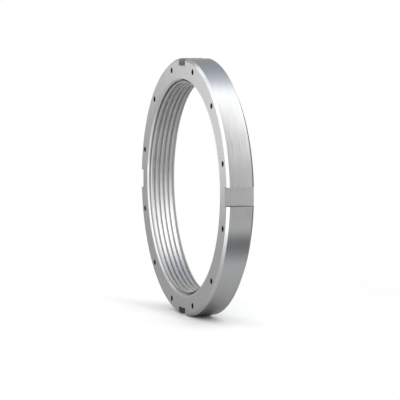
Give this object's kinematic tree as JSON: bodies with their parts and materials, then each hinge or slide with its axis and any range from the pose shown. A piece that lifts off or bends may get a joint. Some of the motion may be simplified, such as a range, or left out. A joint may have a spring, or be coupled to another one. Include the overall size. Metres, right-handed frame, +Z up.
{
  "type": "bearing lock nut",
  "caption": "Slotted steel ring nut with a trapezoidal thread in its bore, spanner slots across the rim and tapped holes in the front face.",
  "frame": {"origin": "on the thread's axis at mid-width, which is the middle of the bounding box", "axes": "+Y along the thread's axis from the front face to the abutment face, +Z up, so that the nut stands on the two edges of its lowest slot"},
  "size_m": [0.2594, 0.03, 0.2594],
  "materials": {
    "turned_steel": "satin turned steel with fine turning marks"
  },
  "bodies": {
    "root": {"lock_nut": "turned_steel"}
  },
  "joints": []
}
